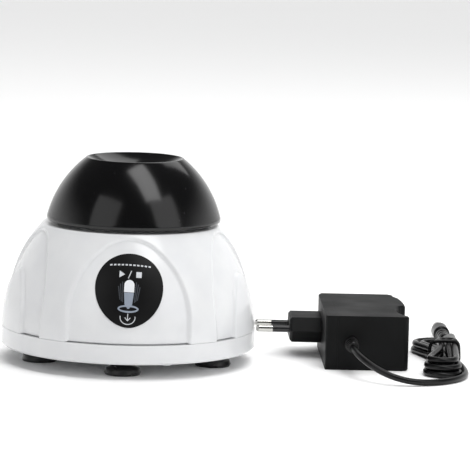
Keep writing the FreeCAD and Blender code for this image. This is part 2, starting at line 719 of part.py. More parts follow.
def mixing_head():
    """The rubber head: a skirt with a curved side, a rounded rim and a dish with a pit in its middle."""
    turned(new_body("mixing_head", ("orbit", "0", "0")), [
        ("41.5", "head_bottom"), ("head_lip - 3", "head_bottom"), ("head_lip", "lip_high", "head_curve"),
        ("rim_radius + 0.7", "head_high - 0.4"), ("rim_radius", "head_high"), ("rim_radius - 0.8", "head_high - 0.4",
         "-dish_curve"), ("pit_radius", "dish_low"), ("pit_radius - 1.5", "pit_low + 0.5"), ("0", "pit_low"),
        ("0", "core_top"), ("27.9", "core_top"), ("33.9", "91"), ("core_radius", "core_low"),
        ("core_radius", "core_low - 1"), ("41.5", "core_low - 2"),
    ], "head")


# ---- electrics in the base ----

def switch():
    side = "switch_side"
    node(box("switch_card", ("22", "18", "1.6"), ("-11", "-9", "switch_low - 1.6")), "switch_board")
    block = box("switch_block", (side, side, "switch_high - switch_low"),
                ("-switch_side / 2",) * 2 + ("switch_low",))
    bore = cylinder("switch_bore", "plunger_radius + fit", "6", ("0", "0", "switch_high - 5.2"))
    node(cut("switch_case", block, bore), "switch_body")
    node(cylinder("plunger", "plunger_radius", "plunger_high - switch_high + 3.4", ("0", "0", "switch_high - 3.4")),
         "switch_plunger")


def control_board():
    card = box("card", ("2 * board_half", "board_deep", "board_thick"),
               ("-board_half", "board_front", "board_low"))
    plug = box("card_plug", ("16", "4", "7"), ("-8", "board_front - 4", "board_low - 3"))
    node(fused("card_solid", [card, plug]), "control_board")


def board_parts():
    top = "board_low + board_thick"
    cans = [cylinder(f"capacitor_{i}", "4", "11", (f"{x}", "40", top)) for i, x in enumerate((-16, -7))]
    group("capacitors", cans)
    case = box("regulator_case", ("10", "4.5", "9"), ("6", "36", f"{top} + 1"))
    tab = box("regulator_tab", ("10", "1.3", "16"), ("6", "39.2", f"{top} + 1"))
    legs = [box(f"leg_{i}", ("0.8", "0.8", "1"), (f"{8 + 2.5 * i}", "38", top)) for i in range(3)]
    node(fused("regulator_solid", [case, tab] + legs), "regulator")


def jack():
    """The power jack: a block inside the wall, a threaded neck through it, a contact pin and a nut outside."""
    block = box("jack_block", ("9", "10.5", "9"), ("-4.5", "53", "jack_high - 4.5"))
    neck = cylinder("jack_neck", "jack_hole - fit", "6.3", ("0", "63.5", "jack_high"), Y_WAY)
    bore = cylinder("jack_socket", "jack_bore", "9.1", ("0", "60.8", "jack_high"), Y_WAY)
    node(cut("jack_shell", fused("jack_solid", [block, neck]), bore), "jack_body")
    node(cylinder("jack_contact", "jack_pin", "8.2", ("0", "60.8", "jack_high"), Y_WAY), "jack_pin")
    nut = doc.addObject("Part::Prism", "nut_hexagon")
    bind(nut, Circumradius="6.2", Height="2")
    place(nut, ("0", "jack_seat", "jack_high"), Y_WAY)
    thread = cylinder("nut_thread", "jack_hole", "4", ("0", "jack_seat - 1", "jack_high"), Y_WAY)
    node(cut("nut", nut, thread), "jack_nut")
    low = value("board_low + board_thick")
    group("jack_leads", [
        tube(f"jack_lead_{i}", [(x, 53, 28), (x, 46, 28), (x, 46, low)], "0.8") for i, x in enumerate((-2.5, 2.5))
    ])


# ---- adapter ----

def adapter_body(label):
    return new_body(label, ("adapter_x", "adapter_y", "0"))


def on_adapter(x, y, z):
    """A place given from the adapter's rear face and its lower end."""
    return f"adapter_x + {x}", f"adapter_y + {y}", z


def adapter_rear_shell():
    body = adapter_body("adapter_rear_shell")
    side = outline(new_sketch(body, "XY_Plane", "rear_side"), [
        ("0.6", "0"), ("rear_depth", "0"), ("rear_depth", "adapter_long"), ("2", "adapter_long"),
        ("0", "adapter_long - 6"), ("0", "1"),
    ])
    padded(body, side, "adapter_high")
    half, flat, thick = "boss_width / 2", "(boss_width / 2 - 6)", "boss_thick / 2"
    middle = "adapter_high / 2"
    hexagon = outline(new_sketch(body, "YZ_Plane", "boss"), [
        (f"pins_along + {half}", middle), (f"pins_along + {flat}", f"{middle} + {thick}"),
        (f"pins_along - {flat}", f"{middle} + {thick}"), (f"pins_along - {half}", middle),
        (f"pins_along - {flat}", f"{middle} - {thick}"), (f"pins_along + {flat}", f"{middle} - {thick}"),
    ])
    padded(body, hexagon, "boss_reach", True)
    rounded(body, lambda e: max(v.X for v in e.Vertexes) < -value("boss_reach") + 0.01, "1.2",
            "PartDesign::Chamfer")
    doc.recompute()
    wall = "adapter_wall"
    inside = outline(new_sketch(body, "YZ_Plane", "rear_inside", "rear_depth"), [
        (wall, wall), (f"adapter_long - {wall}", wall), (f"adapter_long - {wall}", f"adapter_high - {wall}"),
        (wall, f"adapter_high - {wall}"),
    ])
    pocketed(body, inside, "rear_depth - 2")
    spots = [(f"pins_along + {s} * pin_spacing / 2", middle) for s in (-1, 1)]
    holes = circles(new_sketch(body, "YZ_Plane", "pin_holes", "-boss_reach"), spots, "1.45")
    pocketed(body, holes, "8", True)


def adapter_front_shell():
    """The deep shell: a bulge at its upper half, a step, and a hollow grip below it."""
    body = adapter_body("adapter_front_shell")
    side = outline(new_sketch(body, "XY_Plane", "front_side"), [
        ("rear_depth + 0.05", "0"), ("43.4", "0", "3.4"), ("45.7", "4", "-42"), ("42.8", "38.2"), ("44.4", "39.8"),
        ("46.7", "41.4", "140"), ("45.2", "68"), ("42.6", "76"), ("42.6", "79"), ("41", "adapter_long"),
        ("rear_depth + 0.05", "adapter_long"),
    ])
    padded(body, side, "adapter_high")

    def long_rim(edge):
        heights = [v.Z for v in edge.Vertexes]
        level = max(heights) - min(heights) < 0.01
        outer = max(v.X for v in edge.Vertexes) > 42 and min(v.X for v in edge.Vertexes) > 20
        return level and outer

    rounded(body, long_rim, "1.2")
    doc.recompute()
    wall = "adapter_wall"
    inside = outline(new_sketch(body, "YZ_Plane", "front_inside", "rear_depth"), [
        (wall, wall), (f"adapter_long - {wall}", wall), (f"adapter_long - {wall}", f"adapter_high - {wall}"),
        (wall, f"adapter_high - {wall}"),
    ])
    pocketed(body, inside, "31.3", True)
    exit_hole = circles(new_sketch(body, "XZ_Plane", "exit_hole"), [("relief_x", "adapter_high / 2")], "3")
    pocketed(body, exit_hole, "5")
    eye = circles(new_sketch(body, "YZ_Plane", "eye", "37"), [("led_along", "adapter_high / 2")], "1.55")
    pocketed(body, eye, "8", True)


def plug_pins():
    """Two contacts: a bare tip and a thinner stem inside its sleeve."""
    pins = []
    sleeves = []
    for index, side in enumerate((-1, 1)):
        at = on_adapter("-boss_reach", f"pins_along + {side} * pin_spacing / 2", "adapter_high / 2")
        body = doc.addObject("PartDesign::Body", f"plug_pin_{index}")
        place(body, at, BACK_X)
        turned(body, [
            ("0", "-7.5"), ("1.4", "-7.5"), ("1.4", "sleeve_long + 0.02"),
            ("plug_pin_radius", "sleeve_long + 0.02"), ("plug_pin_radius", "plug_pin_long - 1.6", "1.7"),
            ("0.4", "plug_pin_long"), ("0", "plug_pin_long"),
        ], f"contact_{index}")
        pins.append(body)
        shell = cylinder(f"sleeve_{index}", "1.9", "sleeve_long", at, BACK_X)
        bore = cylinder(f"sleeve_bore_{index}", "1.42", "sleeve_long", at, BACK_X)
        sleeves.append(cut(f"sleeve_tube_{index}", shell, bore))
    group("plug_pins", pins)
    group("plug_sleeves", sleeves)


def adapter_inside():
    board = box("adapter_card", ("1.6", "70", "23"), on_adapter("20", "5.5", "3.5"))
    node(board, "adapter_board")
    block = box("transformer_core", ("14", "18", "16"), on_adapter("21.6", "40", "7"))
    coil = box("transformer_coil", ("11", "24", "12"), on_adapter("23", "37", "9"))
    tall = box("transformer_cap", ("12", "9", "16"), on_adapter("21.6", "64", "7"))
    group("adapter_parts", [fused("transformer", [block, coil]), tall])
    turned(new_body("adapter_led", on_adapter("37.5", "led_along", "adapter_high / 2"), X_WAY), [
        ("0", "0"), ("2.2", "0"), ("2.2", "0.45"), ("1.5", "0.45"), ("1.5", "4.8", "1.8"), ("0.3", "6.2"),
        ("0", "6.2"),
    ], "led")


def strain_relief():
    """A ribbed sleeve on the cord where it leaves the adapter."""
    ribs = []
    for index in range(3):
        low = 5.2 + 3.4 * index
        ribs += [(f"relief_radius - {0.3 * index}", f"{low}"), (f"relief_radius - {0.3 * index}", f"{low + 2.0}"),
                 ("cord_radius + 0.9", f"{low + 2.4}"), ("cord_radius + 0.9", f"{low + 3.2}")]
    at = on_adapter("relief_x", "0", "adapter_high / 2")
    turned(new_body("strain_relief", at, BACK_Y), [
        ("0", "-4.5"), ("4.4", "-4.5"), ("4.4", "-2.6"), ("2.95", "-2.6"), ("2.95", "0.05"), ("relief_radius", "0.05"),
        ("relief_radius", "3.4"), ("cord_radius + 0.9", "4"), ("cord_radius + 0.9", "5"),
    ] + ribs[:-1] + [("cord_radius + 0.9", "relief_long"), ("0", "relief_long")], "relief")


def cord_pieces():
    node(tube("cord_loop", LOOP_ROUTE, "cord_radius"), "cord_loop")
    node(tube("cord_tail", TAIL_ROUTE, "cord_radius"), "cord_tail")
    outer = box("tie_outer", ("waist_right - waist_left + 2 * tie_thick", "1.8", "waist_high + tie_thick"),
                ("waist_left - tie_thick", "tie_y - 0.9", "0"))
    inner = box("tie_inner", ("waist_right - waist_left", "1.8", "waist_high - tie_thick"),
                ("waist_left", "tie_y - 0.9", "tie_thick"))
    node(cut("tie_ring", outer, inner), "cord_tie")
    lobes = doc.addObject("PartDesign::Body", "lobes")
    shape = outline(new_sketch(lobes, "XY_Plane", "hank_outline"), [
        ("waist_right", "tie_y"), ("185.7", "38", "12.6"), ("160.9", "38"), ("waist_left", "tie_y"),
        ("164.2", "-37", "9.4"), ("182.2", "-37"),
    ])
    padded(lobes, shape, "lobe_high")
    waist = box("waist", ("waist_right - waist_left", "17", "waist_high"), ("waist_left", "tie_y - 8", "0"))
    space = cut("tie_space", box("tie_space_outer", ("30", "1.8", "30"), ("160", "tie_y - 0.9", "-5")),
                box("tie_space_inner", ("waist_right - waist_left", "1.8", "waist_high - tie_thick"),
                    ("waist_left", "tie_y - 0.9", "tie_thick")))
    node(cut("hank", fused("hank_solid", [lobes, waist]), space), "cord_hank")


def low_voltage_plug():
    """A ribbed boot and a round grip in one piece, with a metal barrel round an insulator."""
    at = ("plug_x", "plug_y", "grip_radius")
    ribs = []
    for index in range(3):
        low = 2.2 + 3.9 * index
        radius = 2.9 + 0.35 * index
        ribs += [(f"{radius}", f"{low}"), (f"{radius + 0.15}", f"{low + 2.6}"),
                 ("cord_radius + 0.7", f"{low + 2.9}"), ("cord_radius + 0.7", f"{low + 3.6}")]
    turned(new_body("dc_plug_grip", at, Y_WAY), [
        ("0", "0"), ("cord_radius + 0.9", "0"), ("cord_radius + 0.9", "1.6"),
    ] + ribs + [
        ("grip_radius - 1.4", "boot_long + 0.3"), ("grip_radius", "boot_long + 2"),
        ("grip_radius", "boot_long + grip_long - 1"), ("grip_radius - 0.8", "boot_long + grip_long"),
        ("0", "boot_long + grip_long"),
    ], "grip")
    face = "plug_y + boot_long + grip_long"
    end = ("plug_x", face, "grip_radius")
    metal = cylinder("barrel_out", "barrel_radius", "barrel_long", end, Y_WAY)
    hollow = cylinder("barrel_in", "barrel_radius - 0.45", "barrel_long", end, Y_WAY)
    node(cut("barrel", metal, hollow), "dc_plug_barrel")
    core = cylinder("insulator_out", "barrel_radius - 0.47", "barrel_long - 0.4", end, Y_WAY)
    bore = cylinder("insulator_in", "1.15", "barrel_long", ("plug_x", f"{face} + 1", "grip_radius"), Y_WAY)
    node(cut("insulator", core, bore), "dc_plug_insulator")


for make in (
    base_tray, dome_shell, label, feet, foot_screws, tray_screws, guide_posts, post_stops, return_springs,
    motor_plate, post_bushes, orbit_grommets, motor_can, motor_end_cap, motor_magnets, motor_terminals,
    motor_screws, motor_leads, actuator, motor_shaft, armature, eccentric_hub, eccentric_pin, counterweight,
    bearing_inner_ring, pin_screw, bearing_outer_ring, bearing_balls, head_core, orbit_dowels, mixing_head,
    switch, control_board, board_parts, jack, adapter_rear_shell, adapter_front_shell, plug_pins,
    adapter_inside, strain_relief, cord_pieces, low_voltage_plug,
):
    make()
doc.recompute()

problems = [f"{thing.Name}: {thing.State}" for thing in doc.Objects if {"Invalid", "Error"} & set(thing.State)]
problems += [thing.Label for thing in nodes if thing.Shape.isNull() or not thing.Shape.isValid()]
if problems:
    raise RuntimeError("failed objects: " + ", ".join(problems))
os.makedirs("parts", exist_ok=True)
for thing in nodes:
    thing.Shape.exportStep(f"parts/{thing.Label}.step")
print(len(nodes), "sub-parts")
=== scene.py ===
# %% [markdown]
# # A vortex mixer and its power adapter
# A vortex mixer shakes the liquid in a test tube. Its black rubber head sits on an eccentric pin of a small motor,
# and a press on the head starts the motor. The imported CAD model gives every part's place and size, so this lesson
# starts by loading it. Blender adds what CAD leaves out: soft moulded edges, the print on the label, the wound
# cord, and a finish for each material. Everything is in metres, and a part's place is in its own mesh.

# %% Load the frame
import json
import math

import bmesh
import bpy
from mathutils import Matrix, Vector


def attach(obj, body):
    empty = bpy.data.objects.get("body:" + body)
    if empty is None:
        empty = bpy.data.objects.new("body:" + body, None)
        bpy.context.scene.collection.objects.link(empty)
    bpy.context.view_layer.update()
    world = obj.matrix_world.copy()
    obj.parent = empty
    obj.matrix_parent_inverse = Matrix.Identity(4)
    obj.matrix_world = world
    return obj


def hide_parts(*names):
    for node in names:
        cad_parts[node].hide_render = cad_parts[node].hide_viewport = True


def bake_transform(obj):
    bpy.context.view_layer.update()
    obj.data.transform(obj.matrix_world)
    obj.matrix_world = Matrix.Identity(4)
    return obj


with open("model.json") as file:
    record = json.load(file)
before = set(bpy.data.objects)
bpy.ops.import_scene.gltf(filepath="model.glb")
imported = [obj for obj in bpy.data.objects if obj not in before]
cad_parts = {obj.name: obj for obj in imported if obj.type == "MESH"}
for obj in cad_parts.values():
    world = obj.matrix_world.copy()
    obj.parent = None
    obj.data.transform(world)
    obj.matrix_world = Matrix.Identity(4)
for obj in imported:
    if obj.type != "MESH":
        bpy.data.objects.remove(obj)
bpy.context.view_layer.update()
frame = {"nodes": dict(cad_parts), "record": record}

# %% [markdown]
# ## Three small helpers
# Sizes are easier to read in millimetres, colours are easier to choose as hex codes, and a material is easier to
# follow when each node is one line. Blender's colour sockets take linear light, so the hex code is converted first.

# %% Units, colours and nodes
MM = 0.001


def linear(code):
    """The linear colour of an sRGB hex code."""
    parts = [int(code[i:i + 2], 16) / 255 for i in (1, 3, 5)]
    return [p / 12.92 if p <= 0.04045 else ((p + 0.055) / 1.055) ** 2.4 for p in parts] + [1.0]


def add_node(tree, kind, inputs=None, **settings):
    """Adds a node, sets its properties, and gives each named input a number or another node's output."""
    made = tree.nodes.new("ShaderNode" + kind)
    for name, setting in settings.items():
        setattr(made, name, setting)
    for name, given in (inputs or {}).items():
        if isinstance(given, bpy.types.NodeSocket):
            tree.links.new(given, made.inputs[name])
        else:
            made.inputs[name].default_value = given
    return made


print("mid grey", [round(c, 3) for c in linear("#808080")])

# %% [markdown]
# ## The camera
# A long lens from a little above the table keeps the mixer's outline nearly flat, as a catalogue view does. The
# camera stays in front of the mixer and turns a little to the right, so that the mixer is seen squarely and the
# adapter fits beside it. A slight roll leans the table to the right.

# %% Camera
LENS = 238
EYE = Vector((0, -1.70, 0.30))
AIM = Vector((0.0578, 0, 0.070))
ROLL = 1.5

view = bpy.data.cameras.new("camera")
view.lens = LENS
view.sensor_width = 36
view.clip_start, view.clip_end = 0.05, 60
camera = bpy.data.objects.new("camera", view)
bpy.context.scene.collection.objects.link(camera)
turn = (AIM - EYE).to_track_quat("-Z", "Y").to_matrix().to_4x4()
camera.matrix_world = Matrix.Translation(EYE) @ turn @ Matrix.Rotation(math.radians(ROLL), 4, "Z")
bpy.context.scene.camera = camera
print("camera is", round((AIM - EYE).length, 3), "m from its aim")

# %% [markdown]
# ## The table and the light
# The set stands on a plain white sheet that is larger than the view. The light is a bright wall low down all
# round, which draws thin light edges on the black rubber, a dim ceiling that keeps the rubber's face dark, and
# soft boxes: a key high up on the right and two tall panels in front, which the head mirrors as upright bands, and
# one high up behind, which the dish on top mirrors. A wide light from above and behind keeps the table white. The
# plain sRGB view keeps white white and black black.

# %% Table
bpy.context.scene.view_settings.view_transform = "Standard"

sheet = bmesh.new()
bmesh.ops.create_grid(sheet, x_segments=8, y_segments=8, size=12)
table_mesh = bpy.data.meshes.new("table")
sheet.to_mesh(table_mesh)
sheet.free()
table = bpy.data.objects.new("table", table_mesh)
bpy.context.scene.collection.objects.link(table)

# Uncoated studio paper: an even white with hardly any sheen.
paper = bpy.data.materials.new("white backdrop paper")
paper.use_nodes = True
paper.node_tree.nodes.clear()
paper_shader = add_node(paper.node_tree, "BsdfPrincipled", {
    "Base Color": linear("#FBFBFB"), "Roughness": 0.8, "Specular IOR Level": 0.15})
add_node(paper.node_tree, "OutputMaterial", {"Surface": paper_shader.outputs["BSDF"]})
table_mesh.materials.append(paper)

# %% Surroundings: bright low down behind and beside the set, dim in front and above
world = bpy.data.worlds.new("studio")
bpy.context.scene.world = world
world.use_nodes = True
sky = world.node_tree
sky.nodes.clear()
WALL_LIGHT, ROOM_LIGHT = 0.90, 0.10
direction = add_node(sky, "SeparateXYZ", {"Vector": add_node(sky, "TexCoord").outputs["Generated"]})
low = add_node(sky, "MapRange", {
    "Value": direction.outputs["Z"], "From Min": 0.10, "From Max": 0.55, "To Min": 1.0, "To Max": 0.0,
}, interpolation_type="SMOOTHSTEP").outputs["Result"]
behind = add_node(sky, "MapRange", {
    "Value": direction.outputs["Y"], "From Min": -0.55, "From Max": 0.25, "To Min": 0.0, "To Max": 1.0,
}, interpolation_type="SMOOTHSTEP").outputs["Result"]
wall = add_node(sky, "Math", {0: low, 1: behind}, operation="MULTIPLY").outputs["Value"]
strength = add_node(sky, "Math", {0: wall, 1: WALL_LIGHT, 2: ROOM_LIGHT}, operation="MULTIPLY_ADD")
glow = add_node(sky, "Background", {"Color": linear("#FFFFFF"), "Strength": strength.outputs["Value"]})
add_node(sky, "OutputWorld", {"Surface": glow.outputs["Background"]})


# %% Lamps
def hang(name, lamp, spot, aim):
    """Puts a lamp at a spot and turns it to its aim."""
    thing = bpy.data.objects.new(name, lamp)
    bpy.context.scene.collection.objects.link(thing)
    way = (Vector(aim) - Vector(spot)).to_track_quat("-Z", "Y").to_matrix().to_4x4()
    thing.matrix_world = Matrix.Translation(Vector(spot)) @ way
    return thing


def soft_box(name, spot, aim, width, tall, brightness):
    """A rectangular lamp; its power follows from its area, so that brightness is what a mirror would show."""
    lamp = bpy.data.lights.new(name, "AREA")
    lamp.shape = "RECTANGLE"
    lamp.size, lamp.size_y = width, tall
    lamp.energy = brightness * math.pi * width * tall
    print(name, "power", round(lamp.energy, 1), "W")
    return hang(name, lamp, spot, aim)


top_light = bpy.data.lights.new("top light", "SUN")
top_light.energy = 2.3
top_light.angle = math.radians(70)
hang("top light", top_light, (0.25, 0.9, 2.2), (0, 0, 0)).visible_glossy = False

soft_box("key", (0.30, -0.42, 1.42), (0, 0, 0.09), 0.52, 1.15, 4.2)
soft_box("left panel", (-1.05, -1.12, 0.80), (0, 0, 0.08), 1.05, 1.4, 1.0)
soft_box("right panel", (1.15, -1.02, 0.80), (0, 0, 0.08), 1.0, 1.4, 1.3)
soft_box("dish light", (0.55, 1.15, 1.35), (0, 0, 0.1), 1.1, 0.9, 1.6)
# Polarised lamps, which a shiny part doesn't mirror.
for name, spot, brightness in (("front fill", (0.7, -2.3, 1.0), 1.0), ("right wall", (1.7, 0.1, 0.5), 1.0)):
    soft_box(name, spot, (0, 0, 0.05), 1.5, 1.0, brightness).visible_glossy = False

# %% [markdown]
# ## The cord's line
# A cord is one smooth curve, so it is drawn as a NURBS spline through listed control points. The first
# points lead out of the strain relief, down to the table and round in a wide loop. Each turn of the hank is then
# made of the same few moves: up through the tie, round the top, down through the tie, round the bottom. The turns
# lie in three layers of different sizes, and the last one has a short bight beside the tie. A spline needs an
# order of 3 to be smooth, and the order is set after the points are there.

# %% Control points of the cord, in millimetres
LEAD_OUT = [
    (122.1, -40.3, 15), (122.9, -49.5, 14.2), (126.8, -57.6, 11.5), (133.3, -64.0, 7.8), (141.8, -68.1, 4.4),
    (151.3, -69.7, 2.4), (160.9, -68.4, 1.8), (169.4, -64.2, 1.76), (176.5, -57.6, 1.75), (181.4, -49.2, 1.76),
    (184.0, -39.7, 1.8), (184.5, -29.8, 1.9), (184.0, -20.0, 2.2), (182.4, -10.4, 2.7),
]
TO_PLUG = [(181.2, 5.0, 10.3), (182.9, 18.5, 10.0), (183.7, 32.0, 9.6), (184.1, 42.0, 9.0), (182.6, 50.6, 6.6),
           (181.5, 56.7, 4.75)]
CORD = 3.5
# A spline cuts inside its control points: a half turn of them comes out at this share of their radius.
PULL = 0.93
# Each turn: the slot that it rises through, its top end, the slot that it falls through, and its bottom end.
# A slot is x and z at the tie; an end is the middle of its bend in x and y, the bend's radius and its height.
TURNS = [
    ((181.1, 3.05), (173.2, 37.6, 10.9, 1.76), (170.5, 3.05), (171.6, -35.6, 8.9, 1.76)),
    ((177.5, 3.05), (173.0, 37.2, 7.3, 1.76), (174.0, 3.05), (171.9, -36.0, 5.3, 1.76)),
    ((181.1, 6.55), (173.6, 36.4, 10.7, 5.3), (170.6, 6.55), (171.9, -34.2, 8.6, 5.3)),
    ((177.6, 6.55), (173.9, 35.0, 7.1, 5.3), (174.0, 6.55), (171.4, -34.8, 5.0, 5.3)),
    ((177.7, 10.1), (178.6, 13.6, 4.9, 10.4), (173.9, 10.1), (171.8, -32.4, 7.0, 8.8)),
]


def bend(middle_x, middle_y, radius, level, start):
    """Five points of a half turn that starts on the right (0) or on the left (180) and goes anticlockwise."""
    reach = radius / PULL
    spots = []
    for step in range(5):
        angle = math.radians(start + 45 * step)
        spots.append((middle_x + reach * math.cos(angle), middle_y + reach * math.sin(angle), level))
    return spots


def waist(slot, upward):
    """Two points that carry the cord straight through the tie."""
    x, z = slot
    spots = [(x, -4.5, z), (x, 9.0, z)]
    return spots if upward else spots[::-1]


def between(before, after, share, lift=0.0):
    """A point on the way from one place to another."""
    spot = Vector(before).lerp(Vector(after), share)
    return (spot.x, spot.y, spot.z + lift)


# The third turn is the first of the second layer, so it rises over the turn before it. A top end that is nearer
# than the bight's reach needs no point between it and the tie.
CROSSING_TURN, CROSSING_LIFT, BIGHT_REACH = 2, 1.6, 20
line = list(LEAD_OUT)
for index, (rise, top, fall, bottom) in enumerate(TURNS):
    up = waist(rise, True)
    over = bend(*top, 0)
    down = waist(fall, False)
    under = bend(*bottom, 180)
    if index:
        lift = CROSSING_LIFT if index == CROSSING_TURN else 0.0
        line.append(between(line[-1], up[0], 0.55, lift))
    line += up
    if top[1] > BIGHT_REACH:
        line.append(between(up[-1], over[0], 0.6))
        line += over + [between(over[-1], down[0], 0.4)]
    else:
        line += over
    line += down + [between(down[-1], under[0], 0.55)] + under
line.append(between(line[-1], (181.2, -4.5, 10.3), 0.5))
line.append((181.2, -4.5, 10.3))
line += TO_PLUG
print(len(line), "control points")

# %% The cord itself
# A point's radius scales the bevel. A radius of a thousandth with the bevel in millimetres gives the same tube as
# a radius of 1 with the bevel in metres, and it keeps the curve's own bounding box tight.
cord_curve = bpy.data.curves.new("cord", "CURVE")
cord_curve.dimensions = "3D"
spline = cord_curve.splines.new("NURBS")
spline.points.add(len(line) - 1)
for point, spot in zip(spline.points, line):
    point.co = (*(c * MM for c in spot), 1.0)
    point.radius = MM
spline.order_u = 3
spline.use_endpoint_u = True
spline.resolution_u = 6
cord_curve.bevel_depth = CORD / 2
cord_curve.bevel_resolution = 5
cord_curve.use_fill_caps = True
cord = bpy.data.objects.new("cord", cord_curve)
bpy.context.scene.collection.objects.link(cord)
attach(cord, "adapter")
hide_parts("cord_loop", "cord_hank", "cord_tail")

# %% [markdown]
# The tie round the hank is a plain band of round section. It is a closed curve of the same kind, laid round the
# waist with a small gap, so that it reads as a separate piece that presses on the outer turns.

# %% The tie
TIE_Y = 2.0
TIE_THICK = 1.9
TIE_RING = [
    (176.0, 1.05), (169.6, 1.05), (167.5, 1.2), (167.7, 6.6), (168.6, 12.0), (172.4, 12.55),
    (176.0, 12.7), (180.0, 12.7), (183.9, 12.4), (184.4, 6.6), (184.5, 1.2), (182.4, 1.05),
]
tie_curve = bpy.data.curves.new("tie", "CURVE")
tie_curve.dimensions = "3D"
ring = tie_curve.splines.new("NURBS")
ring.points.add(len(TIE_RING) - 1)
for point, (x, z) in zip(ring.points, TIE_RING):
    point.co = (x * MM, TIE_Y * MM, z * MM, 1.0)
    point.radius = MM
ring.order_u = 3
ring.use_cyclic_u = True
ring.resolution_u = 8
tie_curve.bevel_depth = TIE_THICK / 2
tie_curve.bevel_resolution = 4
tie = bpy.data.objects.new("tie", tie_curve)
bpy.context.scene.collection.objects.link(tie)
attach(tie, "adapter")
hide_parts("cord_tie")

# %% [markdown]
# ## Finishes
# Each finish starts from what the real one is and how it was made. Moulded plastic is smooth but never perfectly
# even: its gloss drifts over a few centimetres, and its skin has a fine grain or a faint ripple from the mould.
# Rubber is duller and holds a little dust. Metals are polished, plated or turned. Patterns read Object
# coordinates, so they stay on the part, and a pattern's size is given in millimetres.

# %% The start of every material
def start_material(name, colour, roughness, **inputs):
    """A material with one Principled shader: returns the material, its tree, the shader and the coordinates."""
    material = bpy.data.materials.new(name)
    material.use_nodes = True
    tree = material.node_tree
    tree.nodes.clear()
    shader = add_node(tree, "BsdfPrincipled", {"Base Color": linear(colour), "Roughness": roughness})
    for socket, number in inputs.items():
        shader.inputs[socket.replace("_", " ")].default_value = number
    add_node(tree, "OutputMaterial", {"Surface": shader.outputs["BSDF"]})
    return material, tree, shader, add_node(tree, "TexCoord").outputs["Object"]


def patches(tree, place, size, low, high, detail=3.0):
    """A soft pattern whose patches are about size millimetres across, between two numbers."""
    cloud = add_node(tree, "TexNoise", {"Vector": place, "Scale": 1 / (size * MM), "Detail": detail})
    return add_node(tree, "MapRange", {"Value": cloud.outputs["Fac"], "From Min": 0.3, "From Max": 0.7,
                                       "To Min": low, "To Max": high}).outputs["Result"]


def shades(tree, amount, first, second):
    """A colour between two hex codes."""
    return add_node(tree, "Mix", {"Factor": amount, 6: linear(first), 7: linear(second)},
                    data_type="RGBA").outputs[2]


def moulded(name, colours, gloss, grain, depth, **inputs):
    """A moulded plastic or rubber: two near shades, a range of roughness, and a grain size and depth in mm."""
    material, tree, shader, place = start_material(name, colours[0], gloss[0], **inputs)
    tree.links.new(shades(tree, patches(tree, place, 14, 0, 1), *colours), shader.inputs["Base Color"])
    tree.links.new(patches(tree, place, 22, *gloss), shader.inputs["Roughness"])
    skin = add_node(tree, "TexNoise", {"Vector": place, "Scale": 1 / (grain * MM), "Detail": 2.0})
    bump = add_node(tree, "Bump", {"Height": skin.outputs["Fac"], "Distance": depth * MM, "Strength": 1.0})
    tree.links.new(bump.outputs["Normal"], shader.inputs["Normal"])
    return material


# %% Plastics and rubbers
# Glossy white ABS, injection moulded: bright, with a soft-edged mirror of the lamps and a very faint ripple.
white_abs = moulded("gloss white ABS", ("#D9DADC", "#DEDFE0"), (0.16, 0.24), 6.0, 0.006,
                    IOR=1.53, Coat_Weight=0.15, Coat_Roughness=0.08)
# Adapter cases are ABS from a spark-eroded mould: matt, with a grain of about half a millimetre.
matt_abs = moulded("spark-eroded black ABS", ("#090A0A", "#0E0F10"), (0.46, 0.58), 0.7, 0.03, IOR=1.53,
                   Specular_IOR_Level=0.14)
# PVC cord and grips: a soft satin shine with a slightly uneven skin from the extruder.
pvc = moulded("satin black PVC", ("#060607", "#0A0A0B"), (0.24, 0.34), 2.2, 0.02, IOR=1.53,
              Specular_IOR_Level=0.3)
# The pin sleeves are hard glossy PA.
sleeve_pa = moulded("glossy black polyamide", ("#101012", "#18181A"), (0.22, 0.30), 1.5, 0.005, IOR=1.53)
# Suction feet and grommets: soft glossy rubber.
foot_rubber = moulded("soft black PVC rubber", ("#0B0B0C", "#121213"), (0.24, 0.36), 3.0, 0.02, IOR=1.52)
# The stiff core in the head is nylon filled with glass: dark grey and dull, with a dry grain.
stiff_insert = moulded("glass-filled nylon", ("#202123", "#292A2C"), (0.5, 0.62), 0.9, 0.03)
# Unpigmented nylon of the bushes and plungers: a warm off-white with a waxy skin.
natural_nylon = moulded("natural nylon", ("#D6D3C6", "#E0DDD2"), (0.38, 0.5), 1.2, 0.01, IOR=1.53)
# Silicone wire has a soft, slightly dull red sleeve.
red_sleeve = moulded("red silicone wire", ("#8E1F1A", "#A32A22"), (0.4, 0.5), 1.5, 0.01)
# Capacitors wear a thin shrunk sleeve: dark blue and glossy.
shrink_sleeve = moulded("dark blue shrink sleeve", ("#161C33", "#1E2743"), (0.25, 0.35), 1.5, 0.01)
# Sintered magnets are charcoal grey and chalky.
ferrite = moulded("sintered ferrite", ("#232427", "#2E2F33"), (0.6, 0.75), 0.8, 0.03)


